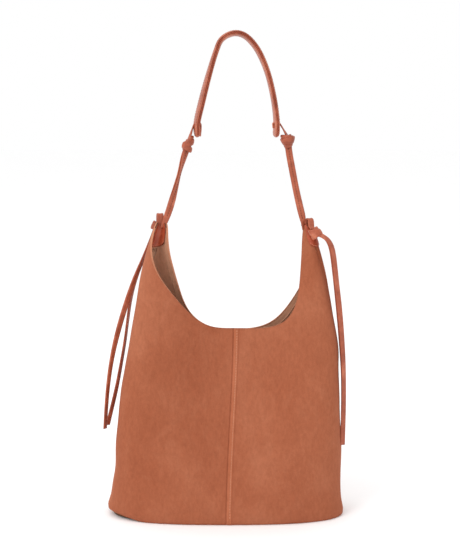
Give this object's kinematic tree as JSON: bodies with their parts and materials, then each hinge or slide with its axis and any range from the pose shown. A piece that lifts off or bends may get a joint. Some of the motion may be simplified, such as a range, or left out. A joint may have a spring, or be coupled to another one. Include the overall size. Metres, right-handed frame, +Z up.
{
  "type": "hobo bag",
  "caption": "Soft suede hobo bag with a scooped mouth, two horns, and a shoulder band hung on knotted leather laces with long free tails.",
  "frame": {"origin": "middle of the base on the surface it stands on", "axes": "+Z up, front of the bag faces -Y, +X to the right seen from the front"},
  "size_m": [0.3357, 0.13, 0.6638],
  "materials": {
    "suede": "napped suede outside, raw flesh side inside",
    "smooth_leather": "smooth, semi-matte",
    "lace": "smooth flat lace with a stitched middle",
    "tape": "woven tape",
    "board": "stiff fibre board",
    "filler": "bonded fibre filler",
    "snap_metal": "satin"
  },
  "bodies": {
    "bag": {"back_closure_tab": "smooth_leather", "back_left_facing": "suede", "back_left_panel": "suede", "back_right_facing": "suede", "back_right_panel": "suede", "back_seam_tape": "tape", "back_snap_washer": "snap_metal", "base_board": "board", "base_panel": "suede", "front_closure_tab": "smooth_leather", "front_left_facing": "suede", "front_left_panel": "suede", "front_right_facing": "suede", "front_right_panel": "suede", "front_seam_tape": "tape", "front_snap_washer": "snap_metal", "left_horn_patch_inner": "smooth_leather", "left_horn_patch_outer": "smooth_leather", "left_seam_tape": "tape", "left_tie_knot": "lace", "left_tie_loop": "lace", "right_horn_patch_inner": "smooth_leather", "right_horn_patch_outer": "smooth_leather", "right_seam_tape": "tape", "right_tie_knot": "lace", "right_tie_loop": "lace", "snap_socket": "snap_metal", "snap_stud": "snap_metal"},
    "strap_laces": {"left_lace_front": "lace", "left_lace_rear": "lace", "right_lace_front": "lace", "right_lace_rear": "lace", "left_upper_knot": "lace", "right_upper_knot": "lace"},
    "shoulder_band": {"band_outer_leather": "smooth_leather", "band_filler": "filler", "band_lining": "smooth_leather", "left_band_loop": "lace", "right_band_loop": "lace"},
    "left_outer_tail": {"left_outer_tail": "lace"},
    "left_inner_tail": {"left_inner_tail": "lace"},
    "right_outer_tail": {"right_outer_tail": "lace"},
    "right_inner_tail": {"right_inner_tail": "lace"}
  },
  "joints": [
    {"name": "strap_swing", "type": "hinge", "parent": "bag", "child": "strap_laces", "pos_m": [0.01, 0, 0.4205], "axis": [1, 0, 0], "range_deg": [-100, 100]},
    {"name": "band_fold", "type": "hinge", "parent": "strap_laces", "child": "shoulder_band", "pos_m": [0.0156, 0, 0.51495], "axis": [0.9994, 0, 0.0346], "range_deg": [-70, 70]},
    {"name": "left_outer_tail_swing", "type": "hinge", "parent": "bag", "child": "left_outer_tail", "pos_m": [-0.09466, 0.00889, 0.396], "axis": [0, 1, 0], "range_deg": [0, 60]},
    {"name": "left_inner_tail_swing", "type": "hinge", "parent": "bag", "child": "left_inner_tail", "pos_m": [-0.09466, 0.00889, 0.396], "axis": [0, 1, 0], "range_deg": [0, 60]},
    {"name": "right_outer_tail_swing", "type": "hinge", "parent": "bag", "child": "right_outer_tail", "pos_m": [0.12133, -0.00768, 0.393], "axis": [0, -1, 0], "range_deg": [0, 60]},
    {"name": "right_inner_tail_swing", "type": "hinge", "parent": "bag", "child": "right_inner_tail", "pos_m": [0.12133, -0.00768, 0.393], "axis": [0, -1, 0], "range_deg": [0, 60]}
  ]
}
